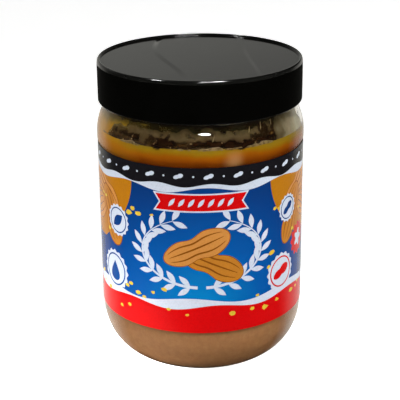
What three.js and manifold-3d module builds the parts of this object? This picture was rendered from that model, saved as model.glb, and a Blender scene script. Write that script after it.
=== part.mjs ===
// Peanut butter jar: a clear moulded jar with a black screw lid, a wrap label, and oil over peanut butter.
// Millimetres, +Z up. The origin is the centre of the base, and the front of the label faces -Y.

import * as THREE from 'three';
import { mergeVertices } from 'three/addons/utils/BufferGeometryUtils.js';
import Module from 'manifold-3d';

// Driving dimensions of the jar
const totalHeight = 125; // table to the lid's lip
const bodyRadius = 41.9; // shoulder, the widest part
const panelRadius = 41.5; // shallow recess that takes the label
const recessStep = 0.6; // slope from the recess out to the shoulder
const wall = 1.2;
const baseThickness = 2;
const heelReach = 17.5; // how far in the rounded bottom edge comes
const heelRise = 21.5; // and how far up it goes
const restInner = 19; // inner edge of the flat ring that the jar stands on
const pushUp = 2.5; // domed hollow inside that ring
const shoulderCurve = 22;
const shoulderStart = 95;
const neckRadius = 38.6;
const neckWall = 1.4;

// Driving dimensions of the lid
const lidRadius = 41;
const lidHeight = 16.8;
const lidWall = 1;
const panelThickness = 1.6;
const lipRise = 0.9; // raised lip round the sunk top panel
const lipWidth = 1.3;
const lipFillet = 0.85; // round outer edge of the lip
const lipDrop = 1.5; // and how far down the side it goes
const innerFillet = 0.4;
const hemFillet = 0.5; // lower edge

// Driving dimensions of the screw thread
const threadPitch = 5;
const threadTurns = 1.25;
const threadStart = 112.5;
const threadCrest = 1; // how far the neck's thread stands off its wall
const lidThreadCrest = 0.9; // and the lid's off the inside of its skirt
const threadSunk = 0.5; // how far a thread's foot is set into its wall
const threadFoot = 2;
const threadTop = 1;
const threadSteps = 48;
const threadFade = 0.15; // share of a turn over which its ends run out
const threadEnd = 0.2; // share of the crest left at the ends, still inside the wall

// Driving dimensions of the label and of what is inside
const labelBottom = 23.1;
const labelHeight = 68.6;
const labelThickness = 0.2;
const labelGap = 0.1; // behind the film
const labelMargin = 0.5; // from the film's top edge to the top of the recess
const labelSeam = 8; // bare strip at the back between the two ends
const fillLevel = 98.6; // surface of the oil
const oilDepth = 10.6;
const clearance = 0.3; // between neighbouring solids

// Fineness of the round faces
const roundSegments = 56;
const chordError = 0.08; // most that a profile's arc may leave its chords
const weld = 1e-4; // corners closer than this are one

// Worked out from the driving dimensions
const quarter = Math.PI / 2;
const restOuter = panelRadius - heelReach;
const recessTop = labelBottom + labelHeight + labelMargin;
const shoulderCentre = bodyRadius - shoulderCurve;
const lidBottom = totalHeight - lidHeight;
const lidPanel = totalHeight - lipRise;
const lidUnderside = lidPanel - panelThickness;
const skirtRadius = lidRadius - lidWall;
const rimHeight = lidUnderside - clearance;
const butterTop = fillLevel - oilDepth;

const wasm = await Module();
wasm.setup();

function point(radius, height) {
  return new THREE.Vector2(radius, height);
}

// Points of an arc in the profile plane: x is the radius, y the height
function arc(x, y, reach, rise, from, to) {
  const step = 2 * Math.acos(1 - chordError / Math.max(reach, rise));
  const segments = Math.ceil(Math.abs(to - from) / step);
  return new THREE.EllipseCurve(x, y, reach, rise, from, to, to < from).getPoints(segments);
}

// A profile turned about Z, from the axis back to the axis, with its outside running upwards
function turned(profile) {
  return new THREE.LatheGeometry(profile, roundSegments).rotateX(quarter);
}

function toManifold(geometry) {
  const bare = geometry.clone().deleteAttribute('normal').deleteAttribute('uv');
  const merged = mergeVertices(bare, weld);
  const corners = merged.index.array;
  const triangles = [];
  for (let i = 0; i < corners.length; i += 3) {
    const [a, b, c] = corners.slice(i, i + 3);
    if (a !== b && b !== c && c !== a) triangles.push(a, b, c);
  }
  const vertProperties = new Float32Array(merged.attributes.position.array);
  const triVerts = new Uint32Array(triangles);
  return new wasm.Manifold(new wasm.Mesh({ numProp: 3, vertProperties, triVerts }));
}

function joined(first, second) {
  const mesh = toManifold(first).add(toManifold(second)).getMesh();
  const geometry = new THREE.BufferGeometry();
  geometry.setAttribute('position', new THREE.BufferAttribute(mesh.vertProperties, 3));
  geometry.setIndex(new THREE.BufferAttribute(mesh.triVerts, 1));
  geometry.computeVertexNormals();
  return geometry;
}

// Outside of the jar, from the middle of the base up to the rim
function outerWall() {
  const neckAngle = Math.acos((neckRadius - shoulderCentre) / shoulderCurve);
  return [
    ...arc(0, 0, restInner, pushUp, quarter, 0),
    ...arc(restOuter, heelRise, heelReach, heelRise, -quarter, 0),
    point(panelRadius, recessTop),
    point(bodyRadius, recessTop + recessStep),
    ...arc(shoulderCentre, shoulderStart, shoulderCurve, shoulderCurve, 0, neckAngle),
    point(neckRadius, rimHeight),
  ];
}

// Lower part of the space inside, drawn in by a gap, from the axis up to the straight wall
function cavityBottom(gap) {
  const floor = baseThickness + gap;
  return [
    ...arc(0, floor, restInner + wall + gap, pushUp, quarter, 0),
    ...arc(restOuter, heelRise, heelReach - wall - gap, heelRise - floor, -quarter, 0),
  ];
}

// Upper part of the space inside: the recess step, and the shoulder up to a given height
function cavityTop(gap, height) {
  const curve = shoulderCurve - wall - gap;
  const angle = Math.asin((height - shoulderStart) / curve);
  return [
    point(panelRadius - wall - gap, recessTop),
    point(bodyRadius - wall - gap, recessTop + recessStep),
    ...arc(shoulderCentre, shoulderStart, curve, curve, 0, angle),
  ];
}

// A bar of trapezoid section bent into a helix, its crest running out at both ends
function screwThread(footRadius, crestRadius, startHeight) {
  const side = Math.sign(crestRadius - footRadius);
  const section = new THREE.Shape([
    point(-threadFoot / 2, 0),
    point(threadFoot / 2, 0),
    point(threadTop / 2, side),
    point(-threadTop / 2, side),
  ]);
  const settings = { depth: threadTurns, steps: threadSteps, bevelEnabled: false };
  const bar = new THREE.ExtrudeGeometry(section, settings);
  const places = bar.attributes.position;
  for (let i = 0; i < places.count; i += 1) {
    const turn = places.getZ(i);
    const runOut = Math.min(turn, threadTurns - turn) / threadFade;
    const crest = Math.abs(places.getY(i)) * Math.min(1, threadEnd + runOut);
    const radius = footRadius + (crestRadius - footRadius) * crest;
    const height = startHeight + places.getX(i) + threadPitch * turn;
    const angle = 2 * Math.PI * turn;
    places.setXYZ(i, radius * Math.cos(angle), radius * Math.sin(angle), height);
  }
  return bar;
}

function jarGeometry() {
  const neckInner = neckRadius - neckWall;
  const innerCurve = shoulderCurve - wall;
  const innerNeck = shoulderStart + Math.sqrt(innerCurve ** 2 - (neckInner - shoulderCentre) ** 2);
  const inside = [...cavityBottom(0), ...cavityTop(0, innerNeck)].reverse();
  const body = turned([...outerWall(), point(neckInner, rimHeight), ...inside]);
  const thread = screwThread(neckRadius - threadSunk, neckRadius + threadCrest, threadStart);
  return joined(body, thread);
}

function lidGeometry() {
  const lipInner = lidRadius - lipWidth;
  const shell = turned([
    point(0, lidUnderside),
    point(skirtRadius, lidUnderside),
    point(skirtRadius, lidBottom),
    ...arc(lidRadius - hemFillet, lidBottom + hemFillet, hemFillet, hemFillet, -quarter, 0),
    ...arc(lidRadius - lipFillet, totalHeight - lipDrop, lipFillet, lipDrop, 0, quarter),
    ...arc(lipInner + innerFillet, totalHeight - innerFillet, innerFillet, innerFillet, quarter, Math.PI),
    point(lipInner, lidPanel),
    point(0, lidPanel),
  ]);
  const drop = (threadFoot + threadTop) / 2 + clearance; // the lid's thread bears up under the neck's
  const thread = screwThread(skirtRadius + threadSunk, skirtRadius - lidThreadCrest, threadStart - drop);
  return joined(shell, thread);
}

function labelGeometry() {
  const inner = panelRadius + labelGap;
  const outer = inner + labelThickness;
  const halfSeam = labelSeam / 2 / outer;
  const from = quarter + halfSeam;
  const to = quarter + 2 * Math.PI - halfSeam;
  const strip = new THREE.Shape();
  strip.absarc(0, 0, outer, from, to, false);
  strip.absarc(0, 0, inner, to, from, true);
  strip.closePath();
  const settings = { depth: labelHeight, bevelEnabled: false, curveSegments: roundSegments / 2 };
  return new THREE.ExtrudeGeometry(strip, settings);
}

function butterGeometry() {
  const edge = panelRadius - wall - clearance;
  return turned([...cavityBottom(clearance), point(edge, butterTop), point(0, butterTop)]);
}

function oilGeometry() {
  const bottom = butterTop + clearance;
  const edge = panelRadius - wall - clearance;
  return turned([
    point(0, bottom),
    point(edge, bottom),
    ...cavityTop(clearance, fillLevel),
    point(0, fillLevel),
  ]);
}

const whole = new THREE.Group();

function addPart(name, geometry, look, height = 0) {
  const part = new THREE.Mesh(geometry, new THREE.MeshStandardMaterial(look));
  part.name = name;
  part.position.z = height;
  whole.add(part);
}

const clearPlastic = { color: 0xc9c1ac, roughness: 0.06, metalness: 0, transparent: true, opacity: 0.3 };
const blackPlastic = { color: 0x0b0b0b, roughness: 0.28, metalness: 0 };
const printedFilm = { color: 0x0850a8, roughness: 0.35, metalness: 0 };
const peanutButter = { color: 0x956a47, roughness: 0.5, metalness: 0 };
const peanutOil = { color: 0x9a5f08, roughness: 0.05, metalness: 0, transparent: true, opacity: 0.8 };

addPart('jar', jarGeometry(), clearPlastic);
addPart('lid', lidGeometry(), blackPlastic);
addPart('label', labelGeometry(), printedFilm, labelBottom);
addPart('peanut_butter', butterGeometry(), peanutButter);
addPart('oil', oilGeometry(), peanutOil);

export default whole;
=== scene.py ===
import math
import random
from functools import partial

import bpy
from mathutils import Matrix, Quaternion, Vector
from mathutils.geometry import delaunay_2d_cdt
from mathutils.kdtree import KDTree


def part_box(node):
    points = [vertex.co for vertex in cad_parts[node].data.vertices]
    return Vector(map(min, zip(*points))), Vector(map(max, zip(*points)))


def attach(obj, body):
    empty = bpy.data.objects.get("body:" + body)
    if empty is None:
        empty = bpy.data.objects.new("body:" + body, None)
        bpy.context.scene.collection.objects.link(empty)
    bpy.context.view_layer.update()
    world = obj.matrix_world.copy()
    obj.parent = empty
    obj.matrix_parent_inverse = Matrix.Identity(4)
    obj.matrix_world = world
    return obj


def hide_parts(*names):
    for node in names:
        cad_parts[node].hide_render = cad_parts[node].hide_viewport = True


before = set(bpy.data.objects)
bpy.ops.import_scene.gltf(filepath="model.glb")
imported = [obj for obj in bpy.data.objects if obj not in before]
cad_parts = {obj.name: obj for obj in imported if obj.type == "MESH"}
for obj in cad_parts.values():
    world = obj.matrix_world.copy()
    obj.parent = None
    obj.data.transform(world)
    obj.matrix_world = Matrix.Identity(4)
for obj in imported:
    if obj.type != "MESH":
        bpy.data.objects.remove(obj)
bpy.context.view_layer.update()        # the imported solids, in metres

# Peanut butter jar: clear jar, black screw lid, wrap label, peanut butter under a layer of oil
mm = 0.001  # every size below is in millimetres
near = 1e-6  # sizes that differ by less than this are the same
fullTurn = 2 * math.pi
body = "root"


def nodeSize(node):
    low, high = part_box(node)
    return max(high.x, -low.x, high.y, -low.y) / mm, low.z / mm, high.z / mm


jarRadius, _, jarTop = nodeSize("jar")
lidRadius, lidBottom, lidTop = nodeSize("lid")
filmRadius, filmBottom, filmTop = nodeSize("label")
oilRadius, _, oilTop = nodeSize("oil")
_, _, pasteTop = nodeSize("peanut_butter")
print("frame loaded, jar", round(jarRadius * 2, 1), "mm across and", round(lidTop, 1), "mm high")


def hexToLinear(colour):
    channels = [int(colour[i:i + 2], 16) / 255 for i in (1, 3, 5)]
    linear = [c / 12.92 if c <= 0.04045 else ((c + 0.055) / 1.055) ** 2.4 for c in channels]
    return (*linear, 1.0)


def deeper(colour, share):
    return "#" + "".join("%02x" % round(int(colour[i:i + 2], 16) * share) for i in (1, 3, 5))


# Inputs go by name, or in a list in the node's own order. Each is a value, a socket, or another node, which
# is joined by the first output that it offers
def addNode(tree, kind, inputs=None, stops=None, **settings):
    node = tree.nodes.new("ShaderNode" + kind)
    for name, value in settings.items():
        setattr(node, name, value)
    for name, value in enumerate(inputs) if isinstance(inputs, list) else (inputs or {}).items():
        if isinstance(value, bpy.types.Node):
            value = next(socket for socket in value.outputs if socket.enabled)
        if isinstance(value, bpy.types.NodeSocket):
            tree.links.new(value, node.inputs[name])
        else:
            node.inputs[name].default_value = value
    if stops:
        while len(node.color_ramp.elements) < len(stops):
            node.color_ramp.elements.new(1.0)
        for element, (place, colour) in zip(node.color_ramp.elements, stops):
            element.position = place
            element.color = hexToLinear(colour)
    return node


# A material whose shader is built by one of the functions below
def makeMaterial(name, build, *details):
    material = bpy.data.materials.new(name)
    material.use_nodes = True
    material.node_tree.nodes.clear()
    add = partial(addNode, material.node_tree)
    shader = build(add, add("TexCoord").outputs["Object"], *details)
    add("OutputMaterial", [shader])
    return material


def addObject(name, data):
    thing = bpy.data.objects.new(name, data)
    bpy.context.scene.collection.objects.link(thing)
    return thing


def perMetre(size):
    return 1 / (size * mm)  # pattern scale for a feature of this many millimetres


# Evenly spaced numbers, both ends included
def spread(start, end, count):
    return [start + (end - start) * i / count for i in range(count + 1)]


def turnSteps(count):
    return [fullTurn * i / count for i in range(count)]


def arcPoints(x, z, reach, rise, start, end, count):
    angles = [math.radians(degrees) for degrees in spread(start, end, count)]
    return [(x + reach * math.cos(a), z + rise * math.sin(a)) for a in angles]


def linePoints(x, start, end, step):
    return [(x, z) for z in spread(start, end, max(1, math.ceil(abs(end - start) / step)))]


# A point on a ring about Z, at an angle round from the front
def onRing(angle, radius, height):
    return radius * math.sin(angle), -radius * math.cos(angle), height


def makePiece(name, points, faces, materials, faceSlots=None, sharp=40, normals=None):
    mesh = bpy.data.meshes.new(name)
    mesh.from_pydata([[c * mm for c in p] for p in points], [], faces)
    for material in materials:
        mesh.materials.append(material)
    if faceSlots:
        mesh.polygons.foreach_set("material_index", faceSlots)
    mesh.shade_smooth()
    mesh.set_sharp_from_angle(angle=math.radians(sharp))
    mesh.validate()
    if normals:
        mesh.normals_split_custom_set_from_vertices(normals)
    piece = addObject(name, mesh)
    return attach(piece, body)


# Turns a profile of (radius, height) about Z: a point on the axis is one vertex, and shift moves a radius
def turnProfile(profile, segments, shift=None):
    points, rings, faces = [], [], []
    for radius, height in profile:
        if radius < near:
            rings.append([len(points)] * segments)
            points.append((0, 0, height))
            continue
        rings.append(range(len(points), len(points) + segments))
        for angle in turnSteps(segments):
            r = radius + (shift(angle, radius, height) if shift else 0)
            points.append((r * math.cos(angle), r * math.sin(angle), height))
    for lower, upper in zip(rings, rings[1:]):
        for i in range(segments):
            j = (i + 1) % segments
            faces.append(list(dict.fromkeys((lower[i], lower[j], upper[j], upper[i]))))
    return points, faces


# Camera, fitted to the ellipses of the lid and label in the picture
camera = {
    "distance": 470.6,  # from the jar's axis, level
    "aside": -0.43,
    "aboveLid": 113.0,
    "pitch": 20.33,  # degrees down
    "roll": -0.56,
    "lens": 108.8,
    "sensor": 36,
    "nearest": 10,
}


def makeCamera():
    data = bpy.data.cameras.new("camera")
    data.sensor_width = camera["sensor"]
    data.lens = camera["lens"]
    data.clip_start = camera["nearest"] * mm
    eye = addObject("camera", data)
    eye.location = Vector((camera["aside"], -camera["distance"], lidTop + camera["aboveLid"])) * mm
    pitch = math.radians(camera["pitch"])
    ahead = Vector((0, math.cos(pitch), -math.sin(pitch)))
    eye.rotation_mode = "QUATERNION"
    turn = Quaternion((0, 0, 1), math.radians(camera["roll"]))
    eye.rotation_quaternion = ahead.to_track_quat("-Z", "Y") @ turn
    bpy.context.scene.camera = eye


makeCamera()
print("camera placed")


# Screw thread
thread = {
    "pitch": 5,
    "turns": 1.25,
    "start": 112.5,
    "foot": 2,
    "top": 1,
    "neckCrest": 1,
    "lidCrest": 0.9,
    "lidDrop": 1.8,  # the lid's thread lies under the neck's
    "fade": 0.15,  # share of a turn over which its ends run out
}


# How far a thread moves the wall of this radius at an angle and height
def threadShift(wall, crest, start):
    def shift(angle, radius, height):
        most = 0
        for whole in (0, 1):
            turn = angle / fullTurn + whole
            ends = min(turn, thread["turns"] - turn) / thread["fade"]
            off = abs(height - start - thread["pitch"] * turn)
            flank = (thread["foot"] / 2 - off) / ((thread["foot"] - thread["top"]) / 2)
            most = max(most, min(1, ends, flank))
        return crest * most if abs(radius - wall) < near else 0

    return shift


# Jar
jarShape = {
    "panelSunk": 0.4,  # recess for the label
    "recessStep": 0.6,
    "recessMargin": 0.5,
    "wall": 1.2,
    "base": 2,
    "heelReach": 17.5,
    "heelRise": 21.5,
    "restInner": 19,
    "pushUp": 2.5,
    "shoulderCurve": 22,
    "shoulderStart": 95,
    "neck": 38.6,
    "neckWall": 1.4,
    "segments": 160,
    "rows": 16,  # round the base and the shoulder, and twice as many round the heel
    "innerRows": 14,
    "firstRow": 1,  # from the heel to the straight wall's first row
    "wallRow": 6,
    "neckFirstRow": 0.6,
    "neckRow": 0.5,  # fine enough for the thread
    "tint": "#f6f3ea",
    "waveLength": 14,
    "waveDepth": 0.4,
}
panel = jarRadius - jarShape["panelSunk"]
heelCentre = panel - jarShape["heelReach"]
straightStart = jarShape["heelRise"] + jarShape["firstRow"]
shoulderCentre = jarRadius - jarShape["shoulderCurve"]
recessTop = filmTop + jarShape["recessMargin"]
stepTop = recessTop + jarShape["recessStep"]


# Inside wall from the axis up to a height, drawn in by a gap, or let into the wall by a negative one
def cavityProfile(gap, top):
    s = jarShape
    floor = s["base"] + gap
    straight = panel - s["wall"] - gap
    reach, rise = straight - heelCentre, s["heelRise"] - floor
    profile = arcPoints(0, floor, s["restInner"] + s["wall"] + gap, s["pushUp"], 90, 0, s["rows"])
    profile += arcPoints(heelCentre, s["heelRise"], reach, rise, -90, 0, 2 * s["innerRows"])
    profile += linePoints(straight, straightStart, min(top, recessTop), s["wallRow"])
    return profile + (upperCavity(gap, top) if top > recessTop else [])


def upperCavity(gap, top):
    s = jarShape
    start = s["shoulderStart"]
    curve = s["shoulderCurve"] - s["wall"] - gap
    angle = math.degrees(math.asin((top - start) / curve))
    profile = [(jarRadius - s["wall"] - gap, stepTop)]
    return profile + arcPoints(shoulderCentre, start, curve, curve, 0, angle, s["innerRows"])


# Blow-moulded PET: water-clear with a trace of warm grey, its wall a little wavy, so that what is
# behind it wobbles and lamps show as crisp streaks
def clearPet(add, coords):
    scale = perMetre(jarShape["waveLength"])
    tint = hexToLinear(jarShape["tint"])
    wave = add("TexNoise", {"Vector": coords, "Scale": scale, "Detail": 1.0})
    bump = add("Bump", {"Height": wave, "Strength": 0.3, "Distance": jarShape["waveDepth"] * mm})
    glass = add("BsdfPrincipled", {
        "Base Color": tint, "Transmission Weight": 1.0, "Roughness": 0.02, "IOR": 1.52, "Normal": bump,
    })
    clear = add("BsdfTransparent", {"Color": tint})
    inShadow = add("LightPath").outputs["Is Shadow Ray"]
    return add("MixShader", [inShadow, glass, clear])  # lamps shine through to the contents


def makeJar():
    s = jarShape
    start, curve = s["shoulderStart"], s["shoulderCurve"]
    neckInner = s["neck"] - s["neckWall"]
    neckAngle = math.degrees(math.acos((s["neck"] - shoulderCentre) / curve))
    innerNeck = start + math.sqrt((curve - s["wall"]) ** 2 - (neckInner - shoulderCentre) ** 2)
    outer = arcPoints(0, 0, s["restInner"], s["pushUp"], 90, 0, s["rows"])
    outer += arcPoints(heelCentre, s["heelRise"], s["heelReach"], s["heelRise"], -90, 0, 2 * s["rows"])
    outer += linePoints(panel, straightStart, recessTop, s["wallRow"])
    outer += [(jarRadius, stepTop)]
    outer += arcPoints(shoulderCentre, start, curve, curve, 0, neckAngle, s["rows"])
    outer += linePoints(s["neck"], outer[-1][1] + s["neckFirstRow"], jarTop, s["neckRow"])
    inner = cavityProfile(0, innerNeck) + [(neckInner, jarTop)]
    shift = threadShift(s["neck"], thread["neckCrest"], thread["start"])
    points, faces = turnProfile(outer + inner[::-1], s["segments"], shift)
    plastic = makeMaterial("clear PET, blow-moulded", clearPet)
    piece = makePiece("clear_jar", points, faces, [plastic], sharp=25)
    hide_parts("jar")
    print("jar turned,", len(faces), "faces")


makeJar()


# Lid
lidShape = {
    "wall": 1,
    "panelThickness": 1.6,
    "lipRise": 0.9,
    "lipWidth": 1.3,
    "lipFillet": 0.85,
    "lipDrop": 1.5,  # and how far down the outside that fillet goes
    "innerFillet": 0.4,
    "deckFillet": 0.15,
    "hemFillet": 0.5,
    "segments": 192,
    "filletRows": {"hem": 6, "lip": 10, "inner": 6, "deck": 4},
    "skirtRow": 0.5,  # fine enough for the thread
    "underRows": (0, 20),
    "underEdge": 0.4,
    "deckRows": (30, 20, 10, 0),
    "sideSlack": 0.02,  # lets the hem's last row go with the side
    "peel": 0.9,  # the mould's texture, drawn coarser than it is so that it shows
    "flow": 24,  # patches of gloss
    "wiped": 38,  # and of dust
    "finishes": [  # name, gloss, least and most roughness, dust, creased or not
        ("smooth", 0.17, 0.09, 0.13, "#161614", False),
        ("textured", 0.004, 0.5, 0.6, "#040403", False),
        ("smooth and creased", 0.17, 0.09, 0.13, "#161614", True),
    ],
    "creases": [  # faint steps in the top: side, bow, its middle, wavelength, width, drop towards +X
        (-11.8, -6.6, -10, 118, 3.0, -0.42),
        (20.6, -2.6, -10, 130, 2.6, 0.2),
    ],
}


# Injection-moulded polypropylene: nearly black. The top and lip are smooth, so that lamps show as glints
# and the flat top mirrors the room as a grey sheen, broken by two faint creases and a breath of dust. The
# side has the mould's fine texture and stays deep black
def blackPolypropylene(add, coords, gloss, smooth, dull, dust, creased):
    peelScale, flowScale, wipedScale = (perMetre(lidShape[k]) for k in ("peel", "flow", "wiped"))
    peel = add("TexNoise", {"Vector": coords, "Scale": peelScale, "Detail": 3.0})
    flow = add("TexNoise", {"Vector": coords, "Scale": flowScale, "Detail": 2.0, "Distortion": 1.2})
    wiped = add("TexNoise", {"Vector": coords, "Scale": wipedScale, "Detail": 1.0, "Distortion": 0.8})
    rough = add("MapRange", [flow, 0.3, 0.7, smooth, dull])
    tone = add("ValToRGB", [wiped], [(0.42, deeper(dust, 0.7)), (0.58, dust)])
    bump = add("Bump", {"Height": peel, "Strength": 0.06, "Distance": 0.05 * mm})
    for crease in lidShape["creases"] if creased else []:
        bump = creaseBump(add, coords, bump, *crease)
    return add("BsdfPrincipled", {
        "Base Color": tone, "Roughness": rough, "IOR": 1.49, "Specular IOR Level": gloss, "Normal": bump,
    })


# A soft step across the lid, along a line that bends like a wave
def creaseBump(add, coords, bump, side, bow, middle, wavelength, width, drop):
    places = add("SeparateXYZ", [coords]).outputs
    turn = add("MapRange", [places["Y"], middle * mm, (middle + wavelength) * mm, 0, fullTurn], clamp=False)
    wave = add("Math", [turn], operation="SINE")
    line = add("Math", [wave, bow * mm, side * mm], operation="MULTIPLY_ADD")
    off = add("Math", [places["X"], line], operation="SUBTRACT")
    before, after = max(drop, 0) * mm, max(-drop, 0) * mm
    step = add("MapRange", [off, -width / 2 * mm, width / 2 * mm, before, after],
               interpolation_type="SMOOTHSTEP")
    return add("Bump", {"Height": step, "Strength": 1.0, "Distance": 1.0, "Normal": bump})


def makeLid():
    s = lidShape
    rows = s["filletRows"]
    deck = lidTop - s["lipRise"]
    under = deck - s["panelThickness"]
    skirt = lidRadius - s["wall"]
    lipInner = lidRadius - s["lipWidth"]
    hem, lip, drop, inside = s["hemFillet"], s["lipFillet"], s["lipDrop"], s["innerFillet"]
    root = s["deckFillet"]
    profile = [(r, under) for r in (*s["underRows"], skirt - s["underEdge"])]
    profile += linePoints(skirt, under, lidBottom, s["skirtRow"])
    profile += arcPoints(lidRadius - hem, lidBottom + hem, hem, hem, -90, 0, rows["hem"])
    profile += arcPoints(lidRadius - lip, lidTop - drop, lip, drop, 0, 90, rows["lip"])
    profile += arcPoints(lipInner + inside, lidTop - inside, inside, inside, 90, 180, rows["inner"])
    profile += arcPoints(lipInner - root, deck + root, root, root, 0, -90, rows["deck"])
    profile += [(r, deck) for r in (lipInner - 2 * root, lipInner - 4 * root, *s["deckRows"])]
    shift = threadShift(skirt, -thread["lidCrest"], thread["start"] - thread["lidDrop"])
    points, faces = turnProfile(profile, s["segments"], shift)

    def finishOf(face):  # 2 for the flat top, 1 for the side and 0 for the rest
        heights = [points[i][2] for i in face]
        if max(abs(height - deck) for height in heights) < near:
            return 2
        outermost = min(math.hypot(*points[i][:2]) for i in face) > lidRadius - s["sideSlack"]
        return int(outermost and max(heights) < lidTop - drop + s["sideSlack"])

    name = "black polypropylene, injection-moulded, "
    finishes = [makeMaterial(name + kind, blackPolypropylene, *look) for kind, *look in s["finishes"]]
    piece = makePiece("screw_lid", points, faces, finishes, [finishOf(face) for face in faces], sharp=50)
    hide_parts("lid")
    print("lid turned,", len(faces), "faces")


makeLid()


# Peanut butter, up to the oil
paste = {
    "intoWall": 0.15,  # so that no air shows between it and the jar
    "intoOil": 0.3,
    "segments": 144,
    "topRows": (30, 20, 10, 0),
    "colours": [(0.25, "#795535"), (0.5, "#815b39"), (0.75, "#876340")],
    "low": (1.5, 9, 0.95, "#23170c"),  # painted shade: darker between these heights, by up to this share of this tone
    "mottle": 2.2,
    "crumb": 1.2,
    "crumbEdge": (0.1, 0.26),
    "crumbShare": 0.2,
    "crumbTone": "#774a2a",
}


# Ground roasted peanuts: a brown paste pressed against the wall, faintly mottled, with finer dark crumbs
# and a little light soaking in at its edges. Towards the base a painted shade darkens it, for the light
# that does not reach it there
def groundPeanuts(add, coords):
    mottle = add("TexNoise", {
        "Vector": coords, "Scale": perMetre(paste["mottle"]), "Detail": 5.0, "Roughness": 0.6,
    })
    tone = add("ValToRGB", [mottle], paste["colours"])
    crumbs = add("TexVoronoi", {"Vector": coords, "Scale": perMetre(paste["crumb"])})
    speck = add("MapRange", [crumbs, *paste["crumbEdge"], paste["crumbShare"], 0])
    colour = add("Mix", {0: speck, 6: tone, 7: hexToLinear(paste["crumbTone"])}, data_type="RGBA")
    # painted shade towards the base
    bottom, top, most, shade = paste["low"]
    height = add("SeparateXYZ", [coords]).outputs["Z"]
    low = add("MapRange", [height, bottom * mm, top * mm, most, 0.0])
    shaded = add("Mix", {0: low, 6: colour, 7: hexToLinear(shade)}, data_type="RGBA")
    return add("BsdfPrincipled", {
        "Base Color": shaded, "Roughness": 0.5, "IOR": 1.46, "Specular IOR Level": 0.2,
        "Subsurface Weight": 0.15, "Subsurface Radius": (1.0, 0.5, 0.25), "Subsurface Scale": 2 * mm,
    })


def makePeanutButter():
    top = pasteTop + paste["intoOil"]
    profile = cavityProfile(-paste["intoWall"], top) + [(r, top) for r in paste["topRows"]]
    points, faces = turnProfile(profile, paste["segments"])
    butter = makeMaterial("peanut butter, ground with crumbs", groundPeanuts)
    piece = makePiece("peanut_butter_fill", points, faces, [butter])
    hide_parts("peanut_butter")
    print("peanut butter filled to", round(pasteTop, 1), "mm")


makePeanutButter()


# Oil, standing on the peanut butter
oil = {
    "intoWall": 0.15,
    "offPaste": 0.2,
    "meniscus": 0.7,  # creep up the wall
    "meniscusLip": (0.3, 0.1),  # its first row in from the wall, and the share of the creep lost there
    "meniscusRows": (0.7, 1.2, 2.0, 3.0, 5.0),
    "meniscusReach": 0.8,
    "bottomRows": (0, 20),
    "bottomEdge": 0.5,
    "topRows": (26, 14, 0),
    "segments": 144,
    "seenFrom": 91.2,  # height of the label's edge, where the darkest tone is
    "depths": [(0.0, "#492002"), (0.3, "#632e03"), (0.55, "#723d04"), (0.82, "#6a5109"), (1.0, "#635215")],
    "surface": [(0.3, "#5a4c25"), (0.7, "#8e7e50")],
    "surfacePatch": 11,
    "swirl": 9,
    "swirlRise": 1.6,
    "cloud": (17.5, 93.4),  # a painted reflection, a soft pale patch: degrees round from the front, height
    "cloudReach": 5.2,
    "cloudShare": 0.68,
    "cloudTone": "#8c6a44",
    "cloudWisp": 1.2,
    "sideFrom": -22,  # out past this X it is lightened with painted light, as from a window shining through
    "sideShare": 0.62,
    "sideTone": "#a8741a",
}


# Peanut oil that has risen out of the paste, seen through the wall: yellow at its surface, amber and then
# brown lower down, with a painted reflection in it as a soft pale patch. Towards the left it is lightened
# with painted light, standing in for a window shining through
def amberOil(add, coords):
    places = add("SeparateXYZ", [coords]).outputs
    swirl = add("TexNoise", {"Vector": coords, "Scale": perMetre(oil["swirl"]), "Detail": 2.0})
    rise = oil["swirlRise"] * mm
    drift = add("MapRange", [swirl, 0, 1, -rise, rise])
    height = add("Math", [places["Z"], drift], operation="ADD")
    level = add("MapRange", [height, oil["seenFrom"] * mm, oilTop * mm])
    tone = add("ValToRGB", [level], oil["depths"])
    # painted reflection: a soft pale patch blended into the tone
    degrees, reflectionHeight = oil["cloud"]
    middle = Vector(onRing(math.radians(degrees), oilRadius, reflectionHeight)) * mm
    away = add("VectorMath", [coords, middle], operation="DISTANCE")
    wisp = add("Math", [drift, oil["cloudWisp"], away], operation="MULTIPLY_ADD")
    share = add("MapRange", [wisp, 0, oil["cloudReach"] * mm, oil["cloudShare"], 0],
                interpolation_type="SMOOTHSTEP")
    withReflection = add("Mix", {0: share, 6: tone, 7: hexToLinear(oil["cloudTone"])}, data_type="RGBA")
    # painted light: lighter out towards the left
    through = add("MapRange", [places["X"], oil["sideFrom"] * mm, -oilRadius * mm, 0, oil["sideShare"]])
    lit = add("Mix", {0: through, 6: withReflection, 7: hexToLinear(oil["sideTone"])}, data_type="RGBA")
    return add("BsdfPrincipled", {
        "Base Color": lit,
        "Roughness": 0.3,
        "IOR": 1.47,
        "Specular IOR Level": 0.0,  # it wets the wall, so nothing shines between them
    })


# The oil's free surface: olive yellow in soft patches, and mirror-smooth
def stillOil(add, coords):
    cloud = add("TexNoise", {"Vector": coords, "Scale": perMetre(oil["surfacePatch"]), "Detail": 3.0})
    tone = add("ValToRGB", [cloud], oil["surface"])
    return add("BsdfPrincipled", {
        "Base Color": tone, "Roughness": 0.06, "IOR": 1.47, "Specular IOR Level": 0.3,
    })


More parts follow.
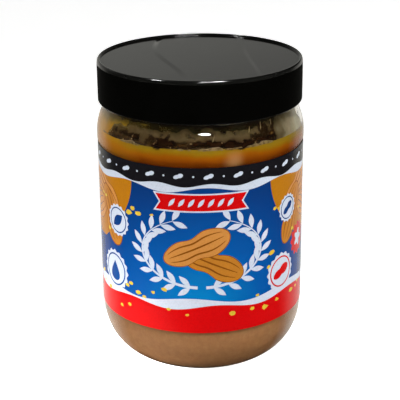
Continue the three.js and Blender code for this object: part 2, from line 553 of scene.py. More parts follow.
def makeOil():
    gap = -oil["intoWall"]
    straight = panel - jarShape["wall"] - gap
    bottom = pasteTop + oil["offPaste"]
    profile = [(r, bottom) for r in (*oil["bottomRows"], straight - oil["bottomEdge"], straight)]
    profile += [(straight, recessTop)] + upperCavity(gap, oilTop)
    sideRows = len(profile) - 1
    edge = profile[-1][0]
    rise, reach = oil["meniscus"], oil["meniscusReach"]
    lip, lost = oil["meniscusLip"]
    profile += [(edge - lip, oilTop - rise * lost)]
    profile += [(edge - d, oilTop - rise * (1 - math.exp(-d / reach))) for d in oil["meniscusRows"]]
    profile += [(r, oilTop - rise) for r in oil["topRows"]]
    points, faces = turnProfile(profile, oil["segments"])
    slots = [int(i >= sideRows * oil["segments"]) for i in range(len(faces))]
    side = makeMaterial("peanut oil, settled, against the wall", amberOil)
    surface = makeMaterial("peanut oil, still surface", stillOil)
    piece = makePiece("oil_layer", points, faces, [side, surface], slots)
    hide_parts("oil")
    print("oil filled to", round(oilTop, 1), "mm")


makeOil()


# What is left on the inside of the shoulder above the oil: a coat of oil nearly all round, amber and olive
# films where it is thicker, thin stains and dark smears of paste, and a few thin runs and flecks. Each kind
# lists degrees round from the front, height above the oil, width and height
residue = {
    "seed": 7,
    "thickness": 0.3,
    "grid": 0.8,  # sheets are bent to the wall in squares of this size
    "grain": 1.4,
    "lobes": [(2, 0.12), (3, 0.1), (5, 0.09), (8, 0.08), (13, 0.06), (21, 0.05)],  # waves round a blob
    "square": 0.7,  # power that makes a blob squarer than an oval
    "coatEnds": (-232, 76),
    "coatTop": 9.5,
    "coatStep": 1.5,
    "coatWaves": ((3, 7, 15, 26, 41), 0.5),  # along its top edge: how many round the coat, and their rise
    "coatEndWave": (1.4, 0.9),
    "coatEndRows": (1.5, 3, 4.5, 6, 7.2),
    "dip": 1.6,  # the coat's lower edge lies in the oil
    "paleFrom": 27.5,  # out to the right, past this X, the coat thins to a pale haze
    "paleTo": 40,
    "paleRagged": 10,
    "paleSoft": 0.4,
    "pale": [(0.2, "#4f4734"), (0.62, "#686150"), (1.0, "#837f6a")],
    "films": [(-76, 3.8, 24, 13), (-56, 6.2, 20, 6.0), (-35, 7.1, 10, 3.4), (-20, 6.7, 7, 2.4)],
    "stains": [
        (-54, 3.2, 3.6, 2.4), (-46.8, 3.0, 5.8, 2.8), (-38.6, 2.6, 6.0, 3.8), (-28, 1.9, 6.2, 3.6),
        (-23.5, 0.2, 5.5, 2.2), (-11, 1.6, 8.5, 3.2), (33, 2.6, 6.5, 3.2), (42, 2.5, 7.0, 3.0),
        (37, 5.2, 6.4, 4.6), (44, 5.8, 3.6, 3.2), (27.7, 6.8, 3.4, 2.8), (12.6, 5.9, 2.8, 2.4),
    ],
    "smears": [
        (-38, 2.6, 4.0, 2.4), (-20.2, 1.9, 7.6, 5.0), (-1, 1.9, 7.4, 3.0), (8, 1.7, 7.5, 3.6),
        (17, 1.05, 7.5, 4.2), (26, 1.0, 7.5, 3.7), (34.5, 1.7, 6.0, 2.6), (41, 1.7, 6.0, 2.2),
    ],
    "runs": [(28, 5.6, 0.4, 2.2), (36, 6.4, 0.4, 3.0), (44, 6.8, 0.4, 2.4), (7, 3.8, 0.3, 2.2)],
    "runLean": -20,
    # Scattered ones: how many, degrees from and to, ranges of height above the oil, width and height, and
    # points round each
    "specks": (26, (-42, 46), ((3.8, 7.4), (1.0, 2.6), (0.9, 1.9)), 36),
    "backSmears": (18, (90, 270), ((1.2, 3.0), (4, 8), (1.8, 3.2)), 72),
    "flecks": (9, (-50, 40), ((0.2, 3.2), (0.3, 0.8), (0.3, 0.6)), 24),
}
layers = {
    "coat": {
        "material": "peanut oil, coat on the wall",
        "intoWall": 0.04, "softEdge": 1.5, "cover": 0.95, "patch": 6.5, "uneven": 0.5, "hazy": True,
        "tones": [(0.0, "#2b1f11"), (0.16, "#2e2113"), (0.34, "#3c3221"), (0.48, "#433927"),
                  (0.72, "#272212"), (0.95, "#17130c")],
    },
    "films": {
        "material": "peanut oil, film on the wall",
        "intoWall": 0.07, "softEdge": 1.8, "cover": 0.9, "patch": 3, "uneven": 0.3, "hazy": False,
        "tones": [(0.0, "#956f22"), (0.35, "#8e6a1d"), (0.6, "#6c581f"), (0.85, "#53461b")],
    },
    "stains": {
        "material": "peanut paste, thin stain",
        "intoWall": 0.17, "softEdge": 0.7, "cover": 0.85,
        "tones": [(0.35, "#160e06"), (0.7, "#2f1f0d")],
    },
    "smears": {
        "material": "peanut paste, oily smear",
        "intoWall": 0.19, "softEdge": 0.7, "cover": 1.0,
        "tones": [(0.35, "#0c0502"), (0.7, "#1d0f06")],
    },
    "runs": {
        "material": "peanut paste, thin pale runs",
        "intoWall": 0.21, "softEdge": 0, "cover": 0.9,
        "tones": [(0.35, "#50432b"), (0.7, "#7d6e52")],
    },
}


def innerWall(height):
    curve = jarShape["shoulderCurve"] - jarShape["wall"]
    rise = max(0, height - jarShape["shoulderStart"])
    neck = jarShape["neck"] - jarShape["neckWall"]
    return max(neck, shoulderCentre + math.sqrt(curve ** 2 - rise ** 2))


# Share of a sheet's colour that hides what is behind it: it thins out to nothing at its edge
def softCover(add, most):
    edge = add("Attribute", attribute_name="inside").outputs["Fac"]
    return add("MapRange", [edge, 0, 1, 0, most], interpolation_type="SMOOTHSTEP")


# Roasted skins and paste stuck on in oil: brown to nearly black, and dull, since oil joins it to the wall
def driedPaste(add, coords, layer):
    grain = add("TexNoise", {"Vector": coords, "Scale": perMetre(residue["grain"]), "Detail": 4.0})
    tone = add("ValToRGB", [grain], layer["tones"])
    return add("BsdfPrincipled", {
        "Base Color": tone, "Roughness": 0.6, "IOR": 1.47, "Specular IOR Level": 0.0,
        "Alpha": softCover(add, layer["cover"]),
    })


# Oil with fine paste in it, clinging to the wall in uneven bands: dull, and soft at its edges
def oilCoat(add, coords, layer):
    places = add("SeparateXYZ", [coords]).outputs
    level = add("MapRange", [places["Z"], oilTop * mm, (oilTop + residue["coatTop"]) * mm], clamp=False)
    grain = add("TexNoise", {
        "Vector": coords, "Scale": perMetre(layer["patch"]), "Detail": 3.0, "Roughness": 0.55,
    })
    drift = add("MapRange", [grain, 0, 1, -layer["uneven"], layer["uneven"]])
    band = add("Math", [level, drift], operation="ADD")
    tone = add("ValToRGB", [band], layer["tones"])
    if layer["hazy"]:
        tone = thinToHaze(add, places["X"], drift, tone)
    return add("BsdfPrincipled", {
        "Base Color": tone, "Roughness": 0.5, "IOR": 1.47, "Specular IOR Level": 0.0,
        "Alpha": softCover(add, layer["cover"]),
    })


# Turns the coat's colour into a pale haze towards +X, along an uneven edge
def thinToHaze(add, across, drift, tone):
    uneven = residue["paleRagged"] * mm
    ragged = add("Math", [drift, uneven, across], operation="MULTIPLY_ADD")
    reach = add("MapRange", [ragged, residue["paleFrom"] * mm, residue["paleTo"] * mm])
    haze = add("ValToRGB", [reach], residue["pale"])
    share = add("MapRange", [reach, 0, residue["paleSoft"]])
    return add("Mix", {0: share, 6: tone, 7: haze}, data_type="RGBA")


def turned(outline, u, v, turn):
    c, s = math.cos(math.radians(turn)), math.sin(math.radians(turn))
    return [(u + x * c - y * s, v + x * s + y * c) for x, y in outline]


# Waves of random phase round a full turn, from how many of them go round and their rise
def drawWaves(draw, sizes):
    return [(n, draw.uniform(0, fullTurn), rise) for n, rise in sizes]


def waveAt(waves, angle):
    return sum(rise * math.sin(n * angle + phase) for n, phase, rise in waves)


# An uneven blob at a height v above the oil
def blobOutline(v, width, height, draw, turn=0, count=72):
    lobes = drawWaves(draw, residue["lobes"])
    outline = []
    for t in turnSteps(count):
        swell = 1 + waveAt(lobes, t)
        across, along = (math.copysign(abs(f(t)) ** residue["square"], f(t)) for f in (math.cos, math.sin))
        outline.append((width / 2 * across * swell, height / 2 * along * swell))
    return turned(outline, 0, v, turn)


def blobs(kind, draw, turn=0):
    return [(degrees, blobOutline(*size, draw, turn)) for degrees, *size in residue[kind]]


def randomBlob(ranges, draw, count):
    return blobOutline(*[draw.uniform(*limits) for limits in ranges], draw, count=count)


# Lays outlines on a surface as one closed sheet: where they overlap the last one wins, and each face knows
# its outline. place gives the point for u, v and a depth below the surface
def layOutlines(outlines, cuts, place, thickness):
    flat, edges, rings = [], [], []
    for outline in outlines:
        rings.append(list(range(len(flat), len(flat) + len(outline))))
        flat += [Vector(p) for p in outline]
    for start, end in cuts:
        edges.append((len(flat), len(flat) + 1))
        flat += [Vector(start), Vector(end)]
    weld = 1e-5
    flat, _, faces, _, _, owners = delaunay_2d_cdt(flat, edges, rings, 0, weld)
    kept = [(face, max(owner)) for face, owner in zip(faces, owners) if owner]
    used = sorted({i for face, _ in kept for i in face})
    renumber = {old: new for new, old in enumerate(used)}
    count = len(used)
    points = [place(*flat[i], depth) for depth in (0, thickness) for i in used]
    front = [[renumber[i] for i in face] for face, _ in kept]
    owners = [owner for _, owner in kept]
    sides = {(a, b): owner for face, owner in zip(front, owners) for a, b in zip(face, face[1:] + face[:1])}
    rim = [(a, b) for a, b in sides if (b, a) not in sides]
    faces = front + [[i + count for i in face[::-1]] for face in front]
    faces += [(b, a, a + count, b + count) for a, b in rim]
    return points, faces, owners + owners + [sides[edge] for edge in rim]


# A sheet round the inside of the shoulder from the oil up, with uneven ends and top
def coatOutline(draw):
    start, end = (math.radians(degrees) * innerWall(oilTop) for degrees in residue["coatEnds"])
    counts, rise = residue["coatWaves"]
    sway, pitch = residue["coatEndWave"]
    steps = math.ceil((end - start) / residue["coatStep"])
    waves = drawWaves(draw, [(n, rise / n ** 0.5) for n in counts])
    places = spread(start, end, steps)
    outline = [(u, -residue["dip"]) for u in places]
    outline += [(end + sway * math.sin(pitch * v), v) for v in residue["coatEndRows"]]
    for i in range(steps, -1, -1):
        outline.append((places[i], residue["coatTop"] + waveAt(waves, fullTurn * i / steps)))
    return outline


# Outlines bent to the wall above the oil, as one piece
def layResidue(name, kind, outlines, build):
    layer = layers[kind]
    wall = innerWall(oilTop)

    def place(u, v, depth):
        height = oilTop + v
        return onRing(u / wall, innerWall(height) + layer["intoWall"] - depth, height)

    outlines = [[(math.radians(side) * wall + x, y) for x, y in outline] for side, outline in outlines]
    flat = [p for outline in outlines for p in outline]
    step = residue["grid"]
    left, right = (math.floor(f(u for u, _ in flat) / step) for f in (min, max))
    low, high = (math.floor(f(v for _, v in flat) / step) for f in (min, max))
    cuts = [((i * step, (low - 1) * step), (i * step, (high + 2) * step)) for i in range(left, right + 2)]
    cuts += [(((left - 1) * step, i * step), ((right + 2) * step, i * step)) for i in range(low, high + 2)]
    points, faces, _ = layOutlines(outlines, cuts, place, residue["thickness"])
    piece = makePiece(name, points, faces, [makeMaterial(layer["material"], build, layer)])
    thinEdges(piece.data, layer["softEdge"] * mm)


# Marks each point of a sheet with how far it is inside, from 0 at the edge to 1 at the soft edge's width
def thinEdges(mesh, width):
    half = len(mesh.vertices) // 2
    walls = [face.vertices for face in mesh.polygons if len({i < half for i in face.vertices}) == 2]
    rim = {i for corners in walls for i in corners if i < half}
    tree = KDTree(len(rim))
    for i in rim:
        tree.insert(mesh.vertices[i].co, i)
    tree.balance()
    inside = [min(1, tree.find(mesh.vertices[i].co)[2] / width) if width else 1 for i in range(half)]
    mesh.attributes.new("inside", "FLOAT", "POINT").data.foreach_set("value", inside + inside)


def makeResidue():
    draw = random.Random(residue["seed"])
    layResidue("oil_coat", "coat", [(0, coatOutline(draw))], oilCoat)
    layResidue("oil_films", "films", blobs("films", draw), oilCoat)
    stains = blobs("stains", draw)
    count, (start, end), ranges, corners = residue["specks"]
    for _ in range(count):
        stains.append((draw.uniform(start, end), randomBlob(ranges, draw, corners)))
    layResidue("peanut_stains", "stains", stains, driedPaste)
    smears = blobs("smears", draw)
    count, (start, end), ranges, corners = residue["backSmears"]
    for i in range(count):
        degrees = start + (end - start) * (i + draw.random()) / count
        smears.append((degrees, randomBlob(ranges, draw, corners)))
    layResidue("peanut_smears", "smears", smears, driedPaste)
    runs = blobs("runs", draw, residue["runLean"])
    count, (start, end), ranges, corners = residue["flecks"]
    for _ in range(count):
        blob = randomBlob(ranges, draw, corners)
        runs.append((draw.uniform(start, end), blob))
    layResidue("oil_runs", "runs", runs, driedPaste)
    print("residue laid on the wall above the oil")


makeResidue()


# A line of froth where the oil meets the wall
froth = {
    "seed": 3,
    "size": 0.95,
    "least": 0.2,  # shares of that size: where it is thinnest, on average, and how far it swells
    "mean": 0.55,
    "swing": 0.7,
    "gap": (-72, 26, 0.9),  # it runs out round here, in degrees from the front: width and share
    "waves": ((5, 9, 14, 23, 37, 52, 71, 88), 0.9),
    "sunk": 0.3,
    "heave": 0.3,
    "offWall": 0.1,
    "intoWall": 0.3,
    "flat": 0.6,
    "around": 360,
    "section": 8,
    "grain": 1.2,
    "tones": [(0.35, "#3f331d"), (0.65, "#5f5034")],
}


# Fine foam with paste in it: olive brown, a shade paler than what is round it, and dull
def paleFroth(add, coords):
    grain = add("TexNoise", {"Vector": coords, "Scale": perMetre(froth["grain"]), "Detail": 3.0})
    tone = add("ValToRGB", [grain], froth["tones"])
    return add("BsdfPrincipled", {
        "Base Color": tone, "Roughness": 0.5, "IOR": 1.4, "Specular IOR Level": 0.2,
    })


def makeFroth():
    draw = random.Random(froth["seed"])
    counts, strength = froth["waves"]
    waves = drawWaves(draw, [(n, strength / n ** 0.5) for n in counts])
    around, section = froth["around"], froth["section"]
    gapMiddle, gapWidth, gapShare = froth["gap"]
    front = 270  # degrees round from +X
    points, faces = [], []
    for i, angle in enumerate(turnSteps(around)):
        swell = waveAt(waves, angle)
        off = (math.degrees(angle) - front - gapMiddle) / gapWidth
        size = froth["size"] * max(froth["least"], froth["mean"] + froth["swing"] * swell)
        size *= 1 - gapShare * math.exp(-off ** 2)
        height = oilTop - froth["sunk"] + froth["heave"] * swell
        middle = innerWall(height) - froth["offWall"]
        for j, t in enumerate(turnSteps(section)):
            radius = middle + min(froth["intoWall"], froth["flat"] * size * math.cos(t))
            points.append((radius * math.cos(angle), radius * math.sin(angle), height + size * math.sin(t)))
            nextRing = (i + 1) % around * section
            k = (j + 1) % section
            faces.append((i * section + j, nextRing + j, nextRing + k, i * section + k))
    piece = makePiece("froth_line", points, faces, [makeMaterial("peanut froth, thin", paleFroth)])
    print("froth line drawn round the oil")


makeFroth()


# Outlines for the label, each set at u, v
def roundOutline(u, v, radius, count=40):
    return [(u + radius * math.cos(t), v + radius * math.sin(t)) for t in turnSteps(count)]


# A peanut in its shell: an oval with a waist, one half a little fuller than the other
def nutHalfWidth(along, width, waist=0.3, waistAt=-0.04, waistWidth=0.3, fuller=0.1):
    narrow = 1 - waist * math.exp(-((along - waistAt) / waistWidth) ** 2)
    return width / 2 * math.sqrt(max(0, 1 - along ** 2)) * narrow * (1 + fuller * along)


def nutOutline(u, v, length, width, turn, count=64):
    outline = []
    for t in turnSteps(count):
        along = math.cos(t)
        outline.append((length / 2 * along, math.copysign(nutHalfWidth(along, width), math.sin(t))))
    return turned(outline, u, v, turn)


def leafOutline(u, v, length, width, turn, count=12):
    lower = [(length * (t - 0.5), -width / 2 * math.sin(math.pi * t)) for t in spread(0, 1, count)]
    return turned(lower + [(x, -y) for x, y in lower[-2:0:-1]], u, v, turn)


def dropOutline(u, v, size, slender=1.4, count=28):
    outline = [(-math.sin(t) * math.sin(t / 2) ** slender, math.cos(t)) for t in turnSteps(count)]
    return [(u + size * x, v + size * y) for x, y in outline]


def boxOutline(u, v, width, height, corner, rows=6):
    outline = []
    for i, (x, y) in enumerate(((1, 1), (-1, 1), (-1, -1), (1, -1))):
        centre = (u + x * (width / 2 - corner), v + y * (height / 2 - corner))
        outline += arcPoints(*centre, corner, corner, 90 * i, 90 * i + 90, rows)
    return outline


# A scalloped disc
def sealOutline(u, v, radius, lobes=16, depth=0.05, lobePoints=8):
    outline = []
    for t in turnSteps(lobes * lobePoints):
        r = radius * (1 + depth * math.cos(lobes * t))
        outline.append((u + r * math.cos(t), v + r * math.sin(t)))
    return outline


def ribbonOutline(v, width, height, notch=0.32):
    w, h, tip = width / 2, height / 2, width / 2 - height * notch
    return [(-w, v - h), (w, v - h), (tip, v), (w, v + h), (-w, v + h), (-tip, v)]


# Label: a flat design in millimetres, u along the wrap from the front's middle and v up from its lower edge
label = {
    "thickness": 0.2,
    "seam": 8,  # bare strip at the back
    "column": 1.5,  # the film is bent in strips of this width
    "press": 7,  # patches of gloss
    "grain": 0.6,  # the ink's grain, drawn coarser than it is so that it shows
    "inks": {
        "blue": [(0.0, "#0277b5"), (0.4, "#024f98"), (0.75, "#063676"), (1.0, "#092856")],
        "black": "#151417",
        "white": "#c2cad7",
        "red": "#c50305",
        "orange": "#ad6e10",
        "tan": "#c2823c",
        "amber": "#b57423",
        "brown": "#7e4411",
        "gold": "#cdb034",
        "grey": "#868c97",
    },
    "blueGlow": 12,  # the blue is lightest at this height on the front
    "blueReach": 62,  # and darkest this far from there
    "bands": [  # ink, level of the wavy edge, its rise, wavelength and phase
        ("white", 59.6, 1.1, 33, 1.2),
        ("black", 61.6, 0.7, 21, 0.4),
        ("white", 13.6, 1.2, 44, 2.2),
        ("red", 10.8, 1.0, 36, 0.6),
    ],
    "nuts": [(4, 29.5, 27, 11.5, -25, "amber"), (-2, 36, 28, 12, 24, "tan")],  # middle, length, width, turn
    "sideNuts": [
        (48, 53, 25, 11.5, 34, "tan"), (66, 54, 25, 11.5, -14, "amber"), (59, 41, 25, 11.5, -30, "tan"),
        (80, 43, 25, 11.5, 22, "amber"), (43, 43, 25, 11.5, 66, "amber"),
    ],
    "ribbons": [("white", 54.6, 38, 7.6), ("red", 54.6, 36, 6.4)],
    "badges": [  # middle, radius, ink, motif, how far up it is set, its sizes
        (-38, 42, 6.4, "blue", leafOutline, 0, (8.0, 4.0, 40)),
        (-41, 20, 8.2, "blue", dropOutline, -0.4, (4.4,)),
        (40, 46, 5.6, "blue", nutOutline, 0, (7.0, 3.2, 35)),
        (36, 20, 7.8, "red", nutOutline, 0, (9.8, 4.6, 24)),
    ],
    "badgeRing": (0.84, 0.76),
    "seals": [("red", 50, 30, 6.6, 12, 0.09), ("white", 50, 30, 3.0, 5, 0.3)],
}
halfWrap = math.pi * filmRadius - label["seam"] / 2
filmHeight = filmTop - filmBottom
shapes = []  # (ink, outline), each one printed over those before it


# A band right round the film, from a wavy edge to the film's nearer edge
def bandOutline(level, rise, length, phase):
    places = spread(-halfWrap, halfWrap, math.ceil(2 * halfWrap))
    wavy = [(u, level + rise * math.sin(fullTurn * u / length + phase)) for u in places]
    if level > filmHeight / 2:
        return wavy + [(u, filmHeight) for u in places[::-1]]
    return [(u, 0) for u in places] + wavy[::-1]


# A shell with ribs along it
def printNut(u, v, length, width, turn, shell):
    rim, ribs, reach, share = 0.35, (-0.55, 0.02, 0.58), 0.86, 0.03
    places = spread(-reach, reach, 24)
    shapes.append(("brown", nutOutline(u, v, length + 2 * rim, width + 2 * rim, turn)))
    shapes.append((shell, nutOutline(u, v, length, width, turn)))
    thick = share * width
    for rib in ribs:
        line = [(s, rib * nutHalfWidth(s, width), thick * (1 - s * s)) for s in places]
        low, high = ([(length / 2 * s, y + side * half) for s, y, half in line] for side in (-1, 1))
        shapes.append(("brown", turned(low + high[-2:0:-1], u, v, turn)))


def printBadge(u, v, radius, ink, motif, lift, sizes):
    outer, inner = label["badgeRing"]
    shapes.append(("white", sealOutline(u, v, radius)))
    shapes.append((ink, roundOutline(u, v, radius * outer)))
    shapes.append(("white", roundOutline(u, v, radius * inner)))
    shapes.append((ink, motif(u, v + lift, *sizes)))


def drawLabel():
    rim = [(-halfWrap, 0), (halfWrap, 0), (halfWrap, filmHeight), (-halfWrap, filmHeight)]
    shapes.append(("blue", rim))
    drawSides()
    drawBands()
    drawWreath()
    drawCrumbs()
    for nut in label["nuts"]:
        printNut(*nut)
    drawRibbon()
    for badge in label["badges"]:
        printBadge(*badge)
    for ink, *seal in label["seals"]:
        shapes.append((ink, sealOutline(*seal)))
    drawBack()


# Nuts in their shells on an orange ground, round both sides
def drawSides():
    top, drop = 62, 30
    innerEdge, flare, bend = 29, 20, 2.2
    outerEdge, tuck = 95, 8
    inner = [(innerEdge + flare * t ** bend, top - drop * t) for t in spread(0, 1, 20)]
    outer = [(outerEdge - tuck * t ** 2, top - drop * t) for t in spread(0, 1, 10)]
    for side in (-1, 1):
        ground = [(side * u, v) for u, v in inner + outer[::-1]]
        shapes.append(("orange", ground[::side]))
        for u, v, length, width, turn, shell in label["sideNuts"]:
            printNut(side * u, v, length, width, side * turn, shell)


# Wavy bands at the top and bottom, with small nuts and dots on the black one
def drawBands():
    for ink, *edge in label["bands"]:
        shapes.append((ink, bandOutline(*edge)))
    count, v = 44, 65.2
    dot = 0.4
    length, width, turn = 4.0, 1.9, 20
    for i in range(count):
        u = -halfWrap + 2 * halfWrap * (i + 0.5) / count
        nut = nutOutline(u, v, length, width, turn, count=20)
        shapes.append(("white", roundOutline(u, v, dot, count=10) if i % 2 else nut))


# Two leafy sprigs that rise round an oval from its lowest point
def drawWreath():
    middle, reach, rise = 34, 24.5, 14.5
    leaves, leafLength, leafWidth, leafOut = 11, 6.2, 2.3, 3.5
    thins, tip = 0.5, 0.12  # half widths of the stem
    stemEnds, leafEnds, leans = (-86, 64), (-80, 62), (-42, 38)  # degrees
    steps = 44
    for side in (-1, 1):
        outer, inner = [], []
        for i, degrees in enumerate(spread(*stemEnds, steps)):
            t = math.radians(degrees)
            thick = thins * (1 - i / steps) + tip
            outer.append((side * (reach + thick) * math.cos(t), middle + (rise + thick) * math.sin(t)))
            inner.append((side * (reach - thick) * math.cos(t), middle + (rise - thick) * math.sin(t)))
        shapes.append(("white", (outer + inner[::-1])[::side]))
        for degrees in spread(*leafEnds, leaves - 1):
            t = math.radians(degrees)
            u, v = reach * math.cos(t), middle + rise * math.sin(t)
            growth = math.atan2(rise * math.cos(t), -reach * math.sin(t))
            for lean in leans:
                way = growth + math.radians(lean)
                centre = (side * (u + leafOut * math.cos(way)), v + leafOut * math.sin(way))
                turn = math.degrees(way if side > 0 else math.pi - way)
                shapes.append(("white", leafOutline(*centre, leafLength, leafWidth, turn)))


# Chopped nut, scattered outside an oval round the wreath
def drawCrumbs():
    seed, count, corners = 11, 64, 7
    across, up, sizes, uneven = (-54, 54), (5, 52), (0.6, 1.5), (0.6, 1.1)
    middle, reach, rise = 34, 29, 19
    wide, low = 1.2, 0.8
    draw = random.Random(seed)
    for _ in range(count):
        u = draw.uniform(*across)
        v = draw.uniform(*up)
        size = draw.uniform(*sizes)
        radii = [size * draw.uniform(*uneven) for _ in range(corners)]
        if math.hypot(u / reach, (v - middle) / rise) < 1:
            continue
        turns = zip(turnSteps(corners), radii)
        shapes.append(("gold", [(u + wide * r * math.cos(t), v + low * r * math.sin(t)) for t, r in turns]))


# A red ribbon with a row of leaves on it
def drawRibbon():
    for ink, v, width, height in label["ribbons"]:
        shapes.append((ink, ribbonOutline(v, width, height)))
    apart, length, leafWidth, turn = 3.8, 4.2, 1.5, 52
    eachSide = 3
    for i in range(-eachSide, eachSide + 1):
        shapes.append(("white", leafOutline(i * apart, v, length, leafWidth, turn)))


# Two white panels with grey bars, of which the middle one of each three is shorter
def drawBack():
    aside, v, size, corner = 98, 35.5, 38, 2.5
    bars, lowest, apart = 9, 20.5, 3.7
    length, shorter, height, end = 32, 26, 0.7, 0.3
    for u in (-aside, aside):
        shapes.append(("white", boxOutline(u, v, size, size, corner)))
        for row in range(bars):
            width = shorter if row % 3 == 1 else length
            shapes.append(("grey", boxOutline(u, lowest + row * apart, width, height, end)))


# Polypropylene film printed on its back face: flat inks with the faint grain of the press, under a gloss
# that is a little uneven where the film was pressed on
def printedFilm(add, coords, name, colour):
    press = add("TexNoise", {"Vector": coords, "Scale": perMetre(label["press"]), "Detail": 3.0})
    if name == "blue":  # lightest low at the front, deepening upwards as printed, and round the sides as painted shade
        glow = Vector((0, -filmRadius, filmBottom + label["blueGlow"])) * mm
        away = add("VectorMath", [coords, glow], operation="DISTANCE")
        reach = add("MapRange", [away, 0, label["blueReach"] * mm])
        ink = add("ValToRGB", [reach], colour)
    else:
        grain = add("TexNoise", {"Vector": coords, "Scale": perMetre(label["grain"]), "Detail": 2.0})
        ink = add("ValToRGB", [grain], [(0.3, deeper(colour, 0.95)), (0.6, colour)])
    rough = add("MapRange", [press, 0, 1, 0.12, 0.2])
    return add("BsdfPrincipled", {
        "Base Color": ink, "Roughness": rough, "IOR": 1.49, "Specular IOR Level": 0.12,
    })


def makeLabel():
    drawLabel()
    inks = list(label["inks"])
    columns = math.ceil(2 * halfWrap / label["column"])
    cuts = [((u, 0), (u, filmHeight)) for u in spread(-halfWrap, halfWrap, columns)[1:-1]]

    def place(u, v, depth):
        return onRing(u / filmRadius, filmRadius - depth, filmBottom + v)

    outlines = [outline for _, outline in shapes]
    points, faces, owners = layOutlines(outlines, cuts, place, label["thickness"])
    outward = [Vector((x, y, 0)).normalized() for x, y, _ in points]
    half = len(points) // 2
    normals = outward[:half] + [-way for way in outward[half:]]
    slots = [inks.index(shapes[owner][0]) for owner in owners]
    film = "printed polypropylene film, "
    prints = [makeMaterial(film + name, printedFilm, name, ink) for name, ink in label["inks"].items()]
    piece = makePiece("wrap_label", points, faces, prints, slots, normals=normals)
    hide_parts("label")
    print("label printed with", len(shapes), "shapes,", len(faces), "faces")


makeLabel()


# Studio: a glowing paper floor with a painted pool of light at the left and a painted shadow under the jar,
# a room that is bright behind and at the left, three soft lamps, and four small lamps that only show as
# glints
studio = {
    "floorHalf": 6000,
    "floorCloud": 40,
    "floor": [(0.3, "#f8f8f7"), (0.7, "#fbfbfa")],
    "floorGlow": 6.5,
    "floorTones": [(0.35, "#ffffff"), (1.0, "#656565")],  # from the painted pool of light outwards
    "floorPatch": (-66, -34),  # a painted pool of light, as from a window, glows most here
    "patchReach": 68,
    "underJar": (25, 29, "#101010"),  # painted shadow: the paper's glow is dark within the first radius, as if the jar kept light off it
    "roomLight": 1.6,
    "roomSide": (-0.4, 0.9, 0.2),  # the bright side of the room
    "room": [(0.0, "#080808"), (0.6, "#1c1c1c"), (0.8, "#70706c"), (0.9, "#82827e"), (1.0, "#9a9a95")],
    "horizon": [(0.35, "#141414"), (0.5, "#62615d"), (0.65, "#aaa8a2"), (0.9, "#b6b4ae")],  # by depth
    "sheet": [(0.0, "#0c0c0c"), (0.35, "#8a8883"), (0.65, "#d0cec7"), (1.0, "#dcdad4")],
    "sheetSides": (0.86, 1.2),  # a pale sheet low behind the jar at both sides, by how far behind and aside
    "sheetAside": 0.8,
    "roomFrom": (0.1, 0.2),  # heights, as sines, over which the horizon turns into the room above
    "sheetFrom": (-0.34, -0.42),  # and into the sheet below
    "lampsAway": 1000,
    "lamps": [  # name, degrees round and up from the front, width and height, watts, only a glint
        ("lamp_front", 3, 24, 240, 120, 2.85, False),
        ("lamp_left", -70, 14, 240, 140, 1.4, False),
        ("lamp_right", 72, 20, 240, 140, 4.4, False),
        ("glint_front", 5, 34, 200, 60, 2.4, True),
        ("glint_lip", 6, 56, 100, 80, 8, True),
        ("glint_left", -66, 56, 130, 140, 18, True),
        ("glint_right", 26, 56, 220, 140, 30, True),
    ],
}


# White paper, glowing most in a painted pool of light at the left, with a painted shadow under the jar
def whitePaper(add, coords):
    scale = perMetre(studio["floorCloud"])
    cloud = add("TexNoise", {"Vector": coords, "Scale": scale, "Detail": 2.0})
    tone = add("ValToRGB", [cloud], studio["floor"])
    patch = Vector((*studio["floorPatch"], 0)) * mm
    away = add("VectorMath", [coords, patch], operation="DISTANCE")
    reach = add("MapRange", [away, 0, studio["patchReach"] * mm])
    glow = add("ValToRGB", [reach], studio["floorTones"])
    # painted shadow under the jar: the glow is dark near the axis
    dark, clear, shade = studio["underJar"]
    radius = add("VectorMath", [coords], operation="LENGTH")
    outsidePaintedShadow = add("MapRange", [radius, dark * mm, clear * mm])
    lit = add("Mix", {0: outsidePaintedShadow, 6: hexToLinear(shade), 7: glow}, data_type="RGBA")
    return add("BsdfPrincipled", {
        "Base Color": tone, "Roughness": 0.9, "Specular IOR Level": 0.0, "Emission Color": lit,
        "Emission Strength": studio["floorGlow"],
    })


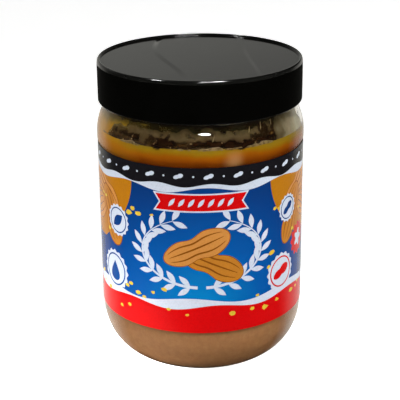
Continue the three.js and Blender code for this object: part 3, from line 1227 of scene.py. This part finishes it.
def makeFloor():
    half = studio["floorHalf"] * mm
    mesh = bpy.data.meshes.new("floor")
    corners = [(-half, -half, 0), (half, -half, 0), (half, half, 0), (-half, half, 0)]
    mesh.from_pydata(corners, [], [(0, 1, 2, 3)])
    paper = makeMaterial("white paper sweep", whitePaper)
    paper.cycles.emission_sampling = "NONE"  # so large that it is met without aiming, with less grain
    mesh.materials.append(paper)
    floor = addObject("floor", mesh)
    floor.visible_glossy = False  # so that the black lid and the film stay deep


def makeRoom():
    world = bpy.data.worlds.new("room")
    world.use_nodes = True
    world.node_tree.nodes.clear()
    add = partial(addNode, world.node_tree)
    way = add("TexCoord").outputs["Generated"]
    parts = add("SeparateXYZ", [way]).outputs
    back = add("VectorMath", [way, studio["roomSide"]], operation="DOT_PRODUCT")
    room = add("ValToRGB", [back], studio["room"])
    sky = add("ValToRGB", [parts["Y"]], studio["horizon"])
    aside = add("Math", [parts["X"]], operation="ABSOLUTE")
    weight = studio["sheetAside"]
    corner = add("Math", [aside, weight, parts["Y"]], operation="MULTIPLY_ADD")
    start, end = studio["sheetSides"]
    sides = add("MapRange", [corner, start, end])
    sheet = add("ValToRGB", [sides], studio["sheet"])
    for other, (start, end) in ((room, studio["roomFrom"]), (sheet, studio["sheetFrom"])):
        share = add("MapRange", [parts["Z"], start, end])
        sky = add("Mix", {0: share, 6: sky, 7: other}, data_type="RGBA")
    light = add("Background", {"Color": sky, "Strength": studio["roomLight"]})
    add("OutputWorld", [light])
    bpy.context.scene.world = world


def makeLamps():
    middle = Vector((0, 0, lidTop / 2 * mm))
    away = studio["lampsAway"] * mm
    for name, around, up, width, height, watts, glint in studio["lamps"]:
        data = bpy.data.lights.new(name, "AREA")
        data.energy = watts
        data.shape = "ELLIPSE"
        data.size = width * mm
        data.size_y = height * mm
        lamp = addObject(name, data)
        rise = math.radians(up)
        offset = Vector(onRing(math.radians(around), away * math.cos(rise), away * math.sin(rise)))
        lamp.location = middle + offset
        lamp.rotation_mode = "QUATERNION"
        lamp.rotation_quaternion = (-offset).to_track_quat("-Z", "Y")
        lamp.visible_camera = False
        lamp.visible_diffuse = not glint
        lamp.visible_glossy = glint
        lamp.visible_transmission = False


makeFloor()
makeRoom()
makeLamps()
bpy.context.scene.view_settings.view_transform = "Standard"
print("studio lit")
